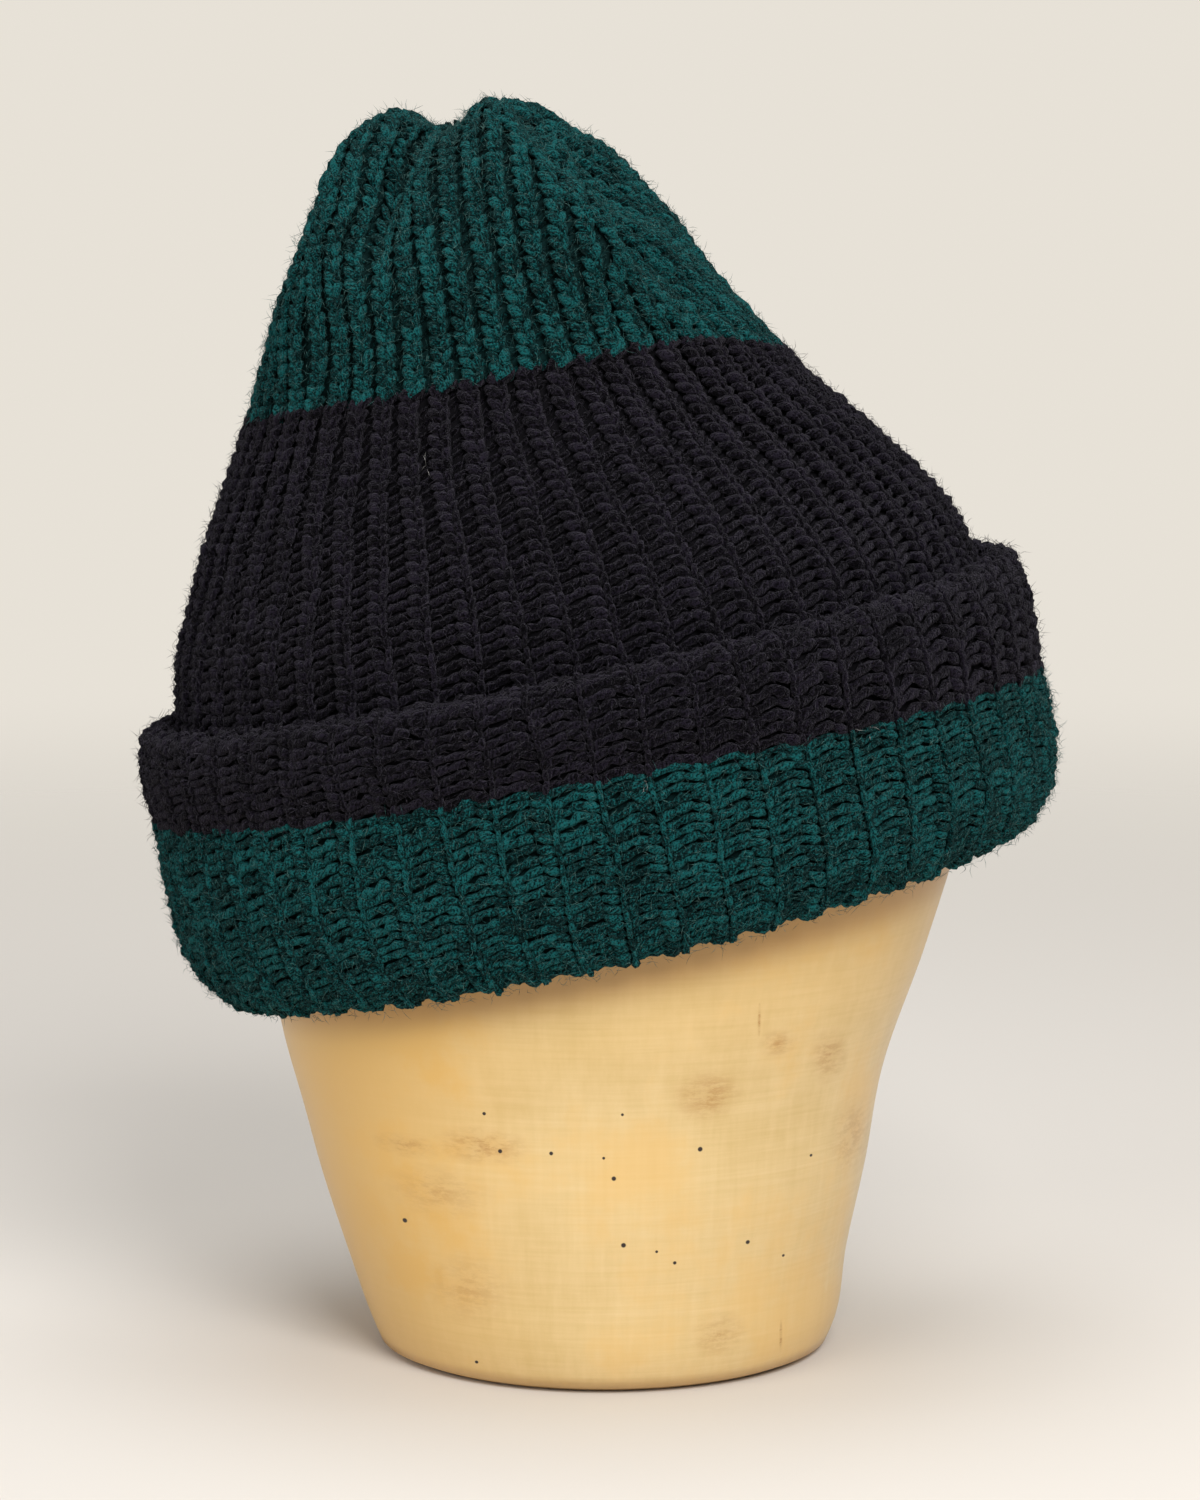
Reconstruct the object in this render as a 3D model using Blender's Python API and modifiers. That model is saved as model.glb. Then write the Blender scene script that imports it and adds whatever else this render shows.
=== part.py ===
"""Ribbed knit cap with a deep turned-up cuff, pulled over a plain turned wooden block stand.

Metres, +Z up. The origin is the middle of the stand's flat resting face. +X runs along the
block's long axis and the front of the cap faces -Y. The cap sits on the block at a slant.
"""

import math

import bmesh
import bpy
from mathutils import Matrix, Vector

for thing in list(bpy.data.objects):
    bpy.data.objects.remove(thing, do_unlink=True)

# Overall sizes
SLANT = math.radians(11.4)
SEAT_RISE = 0.185
SEAT_SHIFT = -0.007
DEPTH_SHARE = 0.84
GAP = 0.0003

# Knitting
RIBS = 52
RIB_DEPTH = 0.0022
BODY_WALL = 0.005
CROWN_WALL = 0.0045
CUFF_WALL = 0.006

# Stand
BLOCK_HALF_WIDTH = 0.096
HEAD_DEPTH_SHARE = 0.835
BASE_HALF_WIDTH = 0.0600
BASE_SHIFT = 0.001
BASE_ROUND = 0.006
DOME_RISE = 0.062
BLOCK_SIDES = 40

# Cap above and behind the cuff, outside sizes. It is stretched over the block with some ease.
BODY_EASE = 0.004
BODY_HALF_WIDTH = BLOCK_HALF_WIDTH + BODY_WALL + BODY_EASE
CROWN_RISE = 0.140
STRIPE_RISE = 0.0705
STRIPE_DIP = 0.009
DIP_FLARE = 0.0055
HEM_DROP = 0.060
PINCH_RISE = 0.129

# Cuff, outside sizes. It lies round the cap with some ease, and its inner leg round the block.
CUFF_EASE = 0.005
CUFF_HALF_WIDTH = BODY_HALF_WIDTH + CUFF_WALL + CUFF_EASE
LEG_HALF_WIDTH = BLOCK_HALF_WIDTH - GAP
CUFF_DROP = 0.0735
CUFF_STRIPE = 0.0295
STRIPE_SKEW = 0.0025
HEM_SKEW = 0.0030
RIM_SKEW = 0.0012
CUFF_SHIFT = 0.0005

# Cap wall: rise as a share of CROWN_RISE, width and lean as shares of BODY_HALF_WIDTH
BODY_ROWS = (
    # rise, width, lean
    (0.000, 0.998, 0.007),
    (0.100, 0.965, 0.003),
    (0.200, 0.892, -0.008),
    (0.300, 0.808, -0.026),
    (0.400, 0.714, -0.040),
)

# Crown sections: each runs in and out between four gathered lobes and the valleys between
# them. Rises are shares of CROWN_RISE, radii and lean are shares of BODY_HALF_WIDTH.
CROWN_ROWS = (
    # lobe_rise, lobe_radius, valley_rise, valley_radius, lean, roundness
    (0.504, 0.632, 0.504, 0.630, -0.042, 0.00),
    (0.600, 0.592, 0.600, 0.565, -0.041, 0.20),
    (0.686, 0.575, 0.686, 0.500, -0.041, 0.40),
    (0.771, 0.535, 0.768, 0.395, -0.044, 0.60),
    (0.857, 0.462, 0.842, 0.290, -0.049, 0.80),
    (0.930, 0.372, 0.888, 0.190, -0.048, 0.95),
    (0.975, 0.285, 0.908, 0.125, -0.045, 1.00),
    (0.992, 0.195, 0.918, 0.085, -0.042, 1.00),
    (0.955, 0.080, 0.922, 0.045, -0.040, 1.00),
)
RIBBED_ROWS = 6

# The lobes round the gathered top, by angle from +X, with their size and the depth of the
# valley after each one as shares
LOBES = (
    # angle, size, valley
    (-142.0, 0.80, 0.50),
    (-58.0, 1.00, 0.95),
    (40.0, 0.96, 0.90),
    (132.0, 0.92, 1.00),
)
LOBE_SHARPNESS = 1.4

# Creases in the crown between two points, each as an angle and a share of CROWN_RISE.
# Width and depth are shares of BODY_HALF_WIDTH. They fade out over CREASE_FADE above the stripe.
CREASES = (
    # from_angle, from_rise, to_angle, to_rise, width, depth
    (-118.0, 0.80, -114.0, 0.93, 0.045, 0.085),
    (-53.0, 0.90, -30.0, 0.53, 0.060, 0.085),
    (-21.0, 0.90, -8.0, 0.60, 0.170, 0.070),
)
CREASE_FADE = 0.035

# Cuff profile from its colour change down, round the fold and up inside. Drops are shares
# of CUFF_DROP and widths are shares of the way from the inner leg to the cuff's outside.
FOLD_ROWS = (
    # drop, width
    (0.62, 1.023),
    (0.81, 0.943),
    (0.93, 0.726),
    (1.00, 0.383),
    (0.945, 0.017),
    (0.775, 0.000),
)

# Cuff profile above the colour change, up to the cast-on edge, in shares of CUFF_DROP and
# CUFF_HALF_WIDTH
EDGE_ROWS = (
    # drop, width
    (0.090, 0.998),
    (0.010, 0.978),
    (-0.004, 0.925),
)

# Block, bottom to top: rise as a share of SEAT_RISE, widths and shift as shares of
# BLOCK_HALF_WIDTH. Slant is the share of the cap's slant.
BLOCK_ROWS = (
    # rise, width, shift, slant, depth
    (0.139, 0.677, -0.009, 0.00, 0.97),
    (0.254, 0.735, -0.017, 0.10, 0.93),
    (0.368, 0.783, -0.018, 0.35, 0.89),
    (0.500, 0.873, 0.016, 0.80, 0.86),
)

# Hidden head form, in the cap's own slanted frame: rise as a share of DOME_RISE
DOME_ROWS = (
    # rise, width, shift
    (-0.970, 0.963, -0.016),
    (-0.480, 0.990, -0.004),
    (0.000, 1.000, 0.000),
    (0.240, 0.953, 0.000),
    (0.450, 0.880, -0.006),
    (0.645, 0.790, -0.020),
    (0.806, 0.665, -0.032),
    (0.920, 0.475, -0.040),
    (0.985, 0.240, -0.042),
)


def cap_frame():
    """Moves the cap's own frame, with its origin in the cuff's upper edge, onto the block."""
    lift = Matrix.Translation(Vector((SEAT_SHIFT, 0.0, SEAT_RISE)))
    return lift @ Matrix.Rotation(-SLANT, 4, "Y")


def oval_angles(count):
    """Angles that divide an oval of the cap's proportions into equal runs of its edge."""
    fine = 2880
    run = [0.0]
    for i in range(fine):
        a = math.tau * i / fine
        b = math.tau * (i + 1) / fine
        across = math.cos(b) - math.cos(a)
        along = DEPTH_SHARE * (math.sin(b) - math.sin(a))
        run.append(run[-1] + math.hypot(across, along))
    angles = []
    step = 0
    for k in range(count):
        want = run[-1] * k / count
        while run[step + 1] < want:
            step += 1
        share = (want - run[step]) / (run[step + 1] - run[step])
        angles.append(math.tau * (step + share) / fine)
    return angles


def mix(a, b, share):
    """A value the given share of the way from a to b."""
    return a + (b - a) * share


def lobe_weight(angle):
    """(1 on a lobe and 0 in a valley, size of the lobes near the angle)."""
    turn = (math.degrees(angle) - LOBES[0][0]) % 360.0 + LOBES[0][0]
    rows = LOBES + ((LOBES[0][0] + 360.0, LOBES[0][1], LOBES[0][2]),)
    for (a, size_a, valley), (b, size_b, _) in zip(rows, rows[1:]):
        if a <= turn <= b:
            share = (turn - a) / (b - a)
            dip = valley * math.sin(math.pi * share) ** LOBE_SHARPNESS
            return 1.0 - dip, mix(size_a, size_b, share)
    return 0.0, 1.0


def crease_depth(angle, rise):
    """How far the crown is pressed in at an angle and a height above the cuff edge."""
    total = 0.0
    fade = min(1.0, max(0.0, (rise - STRIPE_RISE) / CREASE_FADE))
    for from_angle, from_rise, to_angle, to_rise, width, depth in CREASES:
        ax = 0.0
        az = from_rise * CROWN_RISE
        reach = 0.45 * BODY_HALF_WIDTH
        bx = math.radians(to_angle - from_angle) * reach
        bz = to_rise * CROWN_RISE
        turn = (math.degrees(angle) - from_angle + 180.0) % 360.0 - 180.0
        px = math.radians(turn) * reach
        length = (bx - ax) ** 2 + (bz - az) ** 2
        share = ((px - ax) * (bx - ax) + (rise - az) * (bz - az)) / length
        share = min(1.0, max(0.0, share))
        off = math.hypot(px - mix(ax, bx, share), rise - mix(az, bz, share))
        total += depth * BODY_HALF_WIDTH * math.exp(-((off / (width * BODY_HALF_WIDTH)) ** 2))
    return total * fade


def rib(column, strength=1.0):
    """Inward step of a column: every second one is a groove between two ribs."""
    return RIB_DEPTH * strength * (column % 2)


def oval_point(angle, width, lean, rise, depth_share=DEPTH_SHARE):
    """A point of an oval section in the cap's own frame."""
    return Vector((lean + width * math.cos(angle), width * depth_share * math.sin(angle), rise))


def stripe_drop(angle):
    """Drop of the cuff's colour change, which runs a little lower on the right."""
    return CUFF_STRIPE + STRIPE_SKEW * (math.cos(angle) - math.sin(angle) ** 2)


def cuff_drop(drop, angle):
    """Drop of a point of the cuff, whose fold hangs a little lower on the left."""
    return drop * CUFF_DROP - HEM_SKEW * drop * math.cos(angle)


def stripe_rise(angle):
    """Height of the crown's colour change, which dips at the right end."""
    return STRIPE_RISE - STRIPE_DIP * max(0.0, math.cos(angle)) ** 6


def stripe_width(angle):
    """Half width of the cap at the crown's colour change, wider where it dips."""
    dip = (STRIPE_RISE - stripe_rise(angle)) / STRIPE_DIP
    return CROWN_ROWS[0][1] * BODY_HALF_WIDTH + DIP_FLARE * dip


def body_rings(angles):
    """Black wall of the cap, from its hem behind the cuff up to the green crown."""
    hem_width = LEG_HALF_WIDTH + BODY_WALL + RIB_DEPTH
    rings = [
        [
            oval_point(a, hem_width - rib(k), 0.0, -HEM_DROP + GAP)
            for k, a in enumerate(angles)
        ]
    ]
    for rise, width, lean in BODY_ROWS:
        rings.append(
            [
                oval_point(
                    a,
                    width * BODY_HALF_WIDTH - rib(k),
                    lean * BODY_HALF_WIDTH,
                    rise * CROWN_RISE,
                )
                for k, a in enumerate(angles)
            ]
        )
    rings.append(
        [
            oval_point(
                a,
                stripe_width(a) - rib(k),
                CROWN_ROWS[0][4] * BODY_HALF_WIDTH,
                stripe_rise(a) - 2.5 * GAP,
            )
            for k, a in enumerate(angles)
        ]
    )
    return rings


def crown_ring(angles, row, ribbed):
    """One section of the gathered crown."""
    lobe_rise, lobe_radius, valley_rise, valley_radius, lean, roundness = row
    depth_share = mix(DEPTH_SHARE, 1.0, roundness)
    ring = []
    for k, a in enumerate(angles):
        weight, size = lobe_weight(a)
        radius = mix(valley_radius, mix(valley_radius, lobe_radius, size), weight)
        rise = mix(valley_rise, mix(valley_rise, lobe_rise, size), weight**2) * CROWN_RISE
        tip_share = max(0.0, roundness - 0.8) / 0.2
        slope = 0.13 * tip_share * radius * math.cos(a) * weight * BODY_HALF_WIDTH
        width = radius * BODY_HALF_WIDTH - crease_depth(a, rise)
        if ribbed:
            width -= rib(k, 1.0 - 0.5 * roundness)
        if row is CROWN_ROWS[0]:
            rise = stripe_rise(a)
            width = stripe_width(a) - rib(k)
        ring.append(oval_point(a, width, lean * BODY_HALF_WIDTH, rise - slope, depth_share))
    return ring


def fold_rings(angles):
    """Green part of the cuff: down from the colour change, round the fold and up inside."""
    rings = [
        [
            oval_point(a, CUFF_HALF_WIDTH - rib(k), CUFF_SHIFT, -stripe_drop(a) - GAP)
            for k, a in enumerate(angles)
        ]
    ]
    for number, (drop, width) in enumerate(FOLD_ROWS):
        inside = number >= 4
        ring = []
        for k, a in enumerate(angles):
            step = -rib(k, 0.5) if inside else rib(k)
            fall = HEM_DROP + GAP if number == 5 else cuff_drop(drop, a)
            half = mix(LEG_HALF_WIDTH, CUFF_HALF_WIDTH, width)
            ring.append(oval_point(a, half - step, CUFF_SHIFT, -fall))
        rings.append(ring)
    return rings


def edge_rings(angles):
    """Black part of the cuff, from the colour change up to the cast-on edge."""
    rings = [
        [
            oval_point(a, CUFF_HALF_WIDTH - rib(k), CUFF_SHIFT, -stripe_drop(a))
            for k, a in enumerate(angles)
        ]
    ]
    for number, (drop, width) in enumerate(EDGE_ROWS):
        strength = 0.6 if number == 2 else 1.0
        rings.append(
            [
                oval_point(
                    a,
                    width * CUFF_HALF_WIDTH - rib(k, strength),
                    CUFF_SHIFT,
                    -drop * CUFF_DROP - RIM_SKEW * (1.0 - math.cos(a)),
                )
                for k, a in enumerate(angles)
            ]
        )
    return rings


def block_section(angles, rise, width, shift, slant, depth):
    """An oval section of the block at a height on its axis, slanted by a share."""
    turn = Matrix.Rotation(-SLANT * slant, 4, "Y")
    middle = Vector((shift, 0.0, rise))
    return [middle + turn @ oval_point(a, width, 0.0, 0.0, depth) for a in angles]


def block_rings(angles):
    """Block from its flat base, up past the slanted headband and over the hidden dome."""
    half = BASE_HALF_WIDTH
    base_depth = 1.0
    rings = [
        block_section(angles, 0.0, half - BASE_ROUND, BASE_SHIFT, 0.0, base_depth),
        block_section(angles, 0.3 * BASE_ROUND, half - 0.3 * BASE_ROUND, BASE_SHIFT, 0.0, base_depth),
        block_section(angles, BASE_ROUND, half, BASE_SHIFT, 0.0, base_depth),
    ]
    for rise, width, shift, slant, depth in BLOCK_ROWS:
        rings.append(
            block_section(
                angles,
                rise * SEAT_RISE,
                width * BLOCK_HALF_WIDTH,
                shift * BLOCK_HALF_WIDTH,
                slant,
                depth,
            )
        )
    seat = cap_frame()
    for rise, width, shift in DOME_ROWS:
        rings.append(
            [
                seat
                @ oval_point(
                    a,
                    width * BLOCK_HALF_WIDTH,
                    shift * BLOCK_HALF_WIDTH,
                    rise * DOME_RISE,
                    HEAD_DEPTH_SHARE,
                )
                for a in angles
            ]
        )
    return rings


def skin(rings, bottom_cap=False, top_point=None):
    """Surface through rings of points. A ring with half as many points takes every second."""
    form = bmesh.new()
    rows = [[form.verts.new(p) for p in ring] for ring in rings]
    for low, high in zip(rows, rows[1:]):
        many = len(low)
        if len(high) == many:
            for k in range(many):
                j = (k + 1) % many
                form.faces.new((low[k], low[j], high[j], high[k]))
        else:
            for k in range(0, many, 2):
                mid = (k + 1) % many
                end = (k + 2) % many
                here = high[k // 2]
                there = high[(k // 2 + 1) % len(high)]
                form.faces.new((low[k], low[mid], here))
                form.faces.new((low[mid], there, here))
                form.faces.new((low[mid], low[end], there))
    if bottom_cap:
        form.faces.new(list(reversed(rows[0])))
    if top_point is not None:
        tip = form.verts.new(top_point)
        last = rows[-1]
        for k in range(len(last)):
            form.faces.new((last[k], last[(k + 1) % len(last)], tip))
    return form


def material(name, colour, roughness):
    """A plain Principled material."""
    made = bpy.data.materials.new(name)
    made.use_nodes = True
    shader = made.node_tree.nodes["Principled BSDF"]
    shader.inputs["Base Color"].default_value = (*colour, 1.0)
    shader.inputs["Roughness"].default_value = roughness
    shader.inputs["Metallic"].default_value = 0.0
    return made


def finished(name, form, look, group, wall=0.0):
    """Object from a bmesh, thickened inwards by a Solidify modifier where it is a wall."""
    mesh = bpy.data.meshes.new(name)
    form.to_mesh(mesh)
    form.free()
    piece = bpy.data.objects.new(name, mesh)
    mesh.materials.append(look)
    group.objects.link(piece)
    bpy.context.view_layer.objects.active = piece
    mesh.shade_smooth()
    mesh.set_sharp_from_angle(angle=math.radians(38.0))
    if wall:
        thick = piece.modifiers.new("wall", "SOLIDIFY")
        thick.thickness = wall
        thick.offset = -1.0
        thick.use_rim = True
    return piece


group = bpy.data.collections.new("knit_cap_on_block_stand")
bpy.context.scene.collection.children.link(group)

green = material("green_wool", (0.010, 0.046, 0.046), 0.95)
black = material("black_wool", (0.013, 0.011, 0.015), 0.95)
wood = material("varnished_wood", (0.72, 0.45, 0.17), 0.40)

columns = oval_angles(2 * RIBS)
coarse = columns[::2]

crown_form = skin(
    [crown_ring(columns, row, True) for row in CROWN_ROWS[:RIBBED_ROWS]]
    + [crown_ring(coarse, row, False) for row in CROWN_ROWS[RIBBED_ROWS:]],
    top_point=Vector((-0.040 * BODY_HALF_WIDTH, 0.0, PINCH_RISE)),
)
crown = finished("crown", crown_form, green, group, CROWN_WALL)
body = finished("body_band", skin(body_rings(columns)), black, group, BODY_WALL)
fold = finished("cuff_fold_band", skin(list(reversed(fold_rings(columns)))), green, group, CUFF_WALL)
edge = finished("cuff_edge_band", skin(edge_rings(columns)), black, group, CUFF_WALL)
for piece in (crown, body, fold, edge):
    piece.matrix_world = cap_frame()

block_angles = [math.tau * k / BLOCK_SIDES for k in range(BLOCK_SIDES)]
block_tip = cap_frame() @ Vector((-0.042 * BLOCK_HALF_WIDTH, 0.0, DOME_RISE))
block_form = skin(block_rings(block_angles), bottom_cap=True, top_point=block_tip)
finished("block_stand", block_form, wood, group)
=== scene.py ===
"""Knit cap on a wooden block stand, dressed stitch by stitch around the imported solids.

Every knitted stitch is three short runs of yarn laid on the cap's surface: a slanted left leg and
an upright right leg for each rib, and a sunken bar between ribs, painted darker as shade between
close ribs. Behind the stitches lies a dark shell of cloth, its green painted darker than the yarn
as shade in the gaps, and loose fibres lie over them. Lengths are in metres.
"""

import math

import bpy
import numpy as np
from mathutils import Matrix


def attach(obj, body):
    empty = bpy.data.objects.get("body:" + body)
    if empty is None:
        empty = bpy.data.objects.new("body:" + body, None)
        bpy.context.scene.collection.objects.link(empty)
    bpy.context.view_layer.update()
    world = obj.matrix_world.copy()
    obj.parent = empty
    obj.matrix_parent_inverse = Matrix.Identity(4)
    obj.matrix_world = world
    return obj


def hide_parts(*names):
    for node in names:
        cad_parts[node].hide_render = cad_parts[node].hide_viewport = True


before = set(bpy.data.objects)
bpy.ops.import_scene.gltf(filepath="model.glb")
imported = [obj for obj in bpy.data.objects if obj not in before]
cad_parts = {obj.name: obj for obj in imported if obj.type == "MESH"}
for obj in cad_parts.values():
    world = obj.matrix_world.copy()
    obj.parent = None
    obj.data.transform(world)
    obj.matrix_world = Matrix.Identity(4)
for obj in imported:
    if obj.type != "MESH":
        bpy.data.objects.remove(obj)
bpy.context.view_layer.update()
scene = bpy.context.scene
rng = np.random.default_rng(7)

# Sizes shared with the solids
SLANT = math.radians(11.4)
SEAT_RISE = 0.185
SEAT_SHIFT = -0.007
DEPTH_SHARE = 0.84
RIBS = 52
BLOCK_HALF_WIDTH = 0.096
BODY_WALL = 0.005
BODY_EASE = 0.004
BODY_HALF_WIDTH = BLOCK_HALF_WIDTH + BODY_WALL + BODY_EASE
CUFF_WALL = 0.006
CUFF_EASE = 0.005
CUFF_HALF_WIDTH = BODY_HALF_WIDTH + CUFF_WALL + CUFF_EASE
LEG_SQUEEZE = 0.0003
LEG_HALF_WIDTH = BLOCK_HALF_WIDTH - LEG_SQUEEZE
CROWN_WALL = 0.0045
CROWN_RISE = 0.140
STRIPE_RISE = 0.0705
STRIPE_DIP = 0.009
DIP_FLARE = 0.0055
HEM_DROP = 0.060
HEM_ROOM = 0.0022
PINCH_RISE = 0.129
PINCH_HALF_WIDTH = 0.0006
PINCH_LEAN = -0.040
CUFF_DROP = 0.0735
CUFF_STRIPE = 0.0295
STRIPE_SKEW = 0.0025
HEM_SKEW = 0.0030
RIM_SKEW = 0.0012
CUFF_SHIFT = 0.0005
HEAD_DEPTH_SHARE = 0.835
BASE_HALF_WIDTH = 0.0600
BASE_ROUND = 0.006
BASE_SHIFT = 0.001
BASE_FIRST_RISE = 0.30
DOME_RISE = 0.062
DOME_LEAN = -0.042

BODY_ROWS = (
    # rise, width, lean
    (0.000, 0.998, 0.007),
    (0.100, 0.965, 0.003),
    (0.200, 0.892, -0.008),
    (0.300, 0.808, -0.026),
    (0.400, 0.714, -0.040),
)
CROWN_ROWS = (
    # lobe_rise, lobe_radius, valley_rise, valley_radius, lean, roundness
    (0.504, 0.632, 0.504, 0.630, -0.042, 0.00),
    (0.600, 0.592, 0.600, 0.565, -0.041, 0.20),
    (0.686, 0.575, 0.686, 0.500, -0.041, 0.40),
    (0.771, 0.535, 0.768, 0.395, -0.044, 0.60),
    (0.857, 0.462, 0.842, 0.290, -0.049, 0.80),
    (0.930, 0.372, 0.888, 0.190, -0.048, 0.95),
    (0.975, 0.285, 0.908, 0.125, -0.045, 1.00),
    (0.992, 0.195, 0.918, 0.085, -0.042, 1.00),
    (0.955, 0.080, 0.922, 0.045, -0.040, 1.00),
)
LOBES = (
    # angle, size, valley
    (-142.0, 0.80, 0.50),
    (-58.0, 1.00, 0.95),
    (40.0, 0.96, 0.90),
    (132.0, 0.92, 1.00),
)
LOBE_SHARPNESS = 1.4
PANEL_MIDDLES = (174.0, -97.0, -8.0, 86.0)
TIP_ROUNDNESS = 0.8
TIP_SLOPE = 0.13
CREASES = (
    # from_angle, from_rise, to_angle, to_rise, width, depth
    (-118.0, 0.80, -114.0, 0.93, 0.045, 0.085),
    (-53.0, 0.90, -30.0, 0.53, 0.060, 0.085),
    (-21.0, 0.90, -8.0, 0.60, 0.170, 0.070),
    # two soft ridges and two valleys that the solids leave out
    (-41.0, 0.88, -57.0, 0.70, 0.055, -0.024),
    (-57.0, 0.70, -39.0, 0.50, 0.055, -0.024),
    (3.0, 0.86, -43.0, 0.673, 0.065, 0.050),
    (-43.0, 0.673, -33.0, 0.52, 0.065, 0.032),
)
CREASE_REACH = 0.45
CREASE_FADE = 0.035
FOLD_ROWS = (
    # drop, width
    (0.62, 1.023),
    (0.81, 0.943),
    (0.93, 0.726),
    (1.00, 0.383),
    (0.945, 0.017),
    (0.775, 0.000),
)
EDGE_ROWS = (
    # drop, width
    (0.090, 0.998),
    (0.010, 0.978),
    (-0.004, 0.925),
    (0.050, 0.908),
)
BLOCK_ROWS = (
    # rise, width, shift, slant, depth
    (0.139, 0.677, -0.009, 0.00, 0.97),
    (0.254, 0.735, -0.017, 0.10, 0.93),
    (0.368, 0.783, -0.018, 0.35, 0.89),
    (0.500, 0.873, 0.016, 0.80, 0.86),
)
DOME_ROWS = (
    # rise, width, shift
    (-0.970, 0.963, -0.016),
    (-0.480, 0.990, -0.004),
    (0.000, 1.000, 0.000),
    (0.240, 0.953, 0.000),
    (0.450, 0.880, -0.006),
    (0.645, 0.790, -0.020),
    (0.806, 0.665, -0.032),
    (0.920, 0.475, -0.040),
    (0.985, 0.240, -0.042),
)

# How finely surfaces are measured
SECTION_TURNS = 72
FINE_TURNS = 2881
CROWN_TURNS = 1441
CROWN_LEVELS = 61
CROWN_SHARES = 4321
CROWN_TOP_MARGIN = 0.001
RIB_PARTS = 4
NORMAL_TURN = 0.02
NORMAL_STEP = 0.0010

# Stitches: spacing of the ribs, height of a row, and how evenly the yarn lies
CLOSE_PERIOD = 0.0074
WIDE_PERIOD = 0.0129
LEAST_PERIOD = 0.0042
CLOSEST_SHARE = 0.87
PANEL_OVERLAP = 0.0030
LEAST_ROW = 0.0016
MOST_ROW = 0.0048
RINGS = 5
YARN_LUMPS = 0.09
TIP_SHARE = 0.5
END_THICKNESS = 0.60
SWELL = 0.46
SWELL_SHARPNESS = 0.7
DRIFT = (
    # ribs, turn by rib, turn by metre
    (0.04, 1.7, 95.0),
    (0.02, 0.63, -210.0),
)
SLACK = {
    # spread of: across, up, tilt and deep in metres, and thickness as a share
    "left": (0.00026, 0.00024, 0.00022, 0.00022, 0.06),
    "right": (0.00018, 0.00024, 0.00020, 0.00022, 0.10),
    "bar": (0.00026, 0.00022, 0.00018, 0.00020, 0.06),
}

# Runs of yarn in a stitch. A pair holds the value between close ribs and the one between wide
# ribs. LOW, TOP, FALL, CLIMB, HALF_RISE, BOW and MOST are shares of a row, and the tables of
# RINGS numbers are shares of the run's thickness.
LOOSENESS = (0.40, 0.70)
LEFT_REACH = (0.0031, 0.0041)
LEFT_END = 0.0003
LEFT_TOP = (0.72, 0.40)
LEFT_FALL = (1.30, 0.68)
LEFT_BOW = 0.06
LEFT_RADIUS = (0.00144, 0.00156)
LEFT_MOST = 0.53
LEFT_DEPTH = -0.0024
LEFT_SIDES = 6
LEFT_FLATNESS = 0.85
LEG_ARCH = 0.0012
LEG_WAIST = np.array((0.80, 0.82, 1.06, 0.92, 0.55))
RIGHT_START = (0.0003, 0.0008)
RIGHT_LEAN = (0.0016, 0.0005)
RIGHT_HALF_RISE = 0.62
RIGHT_RADIUS = (0.00126, 0.00082)
RIGHT_DEPTH = (-0.0023, -0.0020)
RIGHT_WIDE_SLACK = 0.00010
RIGHT_SIDES = 5
BAR_START = (0.0012, 0.0010)
BAR_END = (0.0022, 0.0036)
BAR_LOW = -0.36
BAR_CLIMB = 0.74
BAR_BOW = (0.10, 0.22)
BAR_RADIUS = (0.00085, 0.00149)
BAR_MOST = (0.36, 0.515)
BAR_DEPTH = (-0.0042, -0.0020)
BAR_ARCH = 0.0004
BAR_SIDES = 5
BAR_FLATNESS = 0.9
# the next value darkens the tone of bars between close ribs: painted shade in the gaps
BAR_PAINTED_SHADE = 0.6
BAR_WAIST = np.array((0.84, 1.10, 0.66, 1.10, 0.76))
BAR_DENT = np.array((0.0, 0.15, 1.0, 0.15, 0.0))
BAR_DENT_FALL = 0.16
BAR_DENT_DEPTH = 0.0006
BAR_KINKS = 0.00026

# Cloth behind the stitches, and loose fibres
WALL_SINK = 0.0036
WALL_ROW = 0.0032
HAIR_RADIUS = 0.00006
HAIR_LENGTHS = (0.0016, 0.0046)
HAIR_SINK = 0.0004
HAIR_LIFT = (1.1, 2.6)
HAIR_CURL = 0.30
HAIR_BEND = 0.3
HAIR_SIDES = 3
SKEW_WAY = (0.31, 0.52, 0.79)


# ---- shape of the cap ----


def seat(points):
    """Moves points from the cap's own frame onto the block."""
    x, y, z = np.moveaxis(points, -1, 0)
    c, s = math.cos(SLANT), math.sin(SLANT)
    return np.stack((SEAT_SHIFT + c * x - s * z, y, SEAT_RISE + s * x + c * z), -1)


def oval_angles(count):
    """Angles that divide an oval of the cap's proportions into equal runs of its edge."""
    fine = np.linspace(0.0, math.tau, FINE_TURNS)
    x, y = np.cos(fine), DEPTH_SHARE * np.sin(fine)
    run = np.concatenate(([0.0], np.cumsum(np.hypot(np.diff(x), np.diff(y)))))
    return np.interp(run[-1] * np.arange(count) / count, run, fine)


def lobe_weight(angle):
    """(1 on a lobe and 0 in a valley, size of the lobes near the angle)."""
    turn = (np.degrees(angle) - LOBES[0][0]) % 360.0 + LOBES[0][0]
    rows = LOBES + ((LOBES[0][0] + 360.0, LOBES[0][1], LOBES[0][2]),)
    weight, size = np.ones_like(turn), np.ones_like(turn)
    for (a, size_a, valley), (b, size_b, _) in zip(rows, rows[1:]):
        here = (turn >= a) & (turn <= b)
        share = (turn[here] - a) / (b - a)
        weight[here] = 1.0 - valley * np.sin(math.pi * share) ** LOBE_SHARPNESS
        size[here] = size_a + (size_b - size_a) * share
    return weight, size


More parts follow.
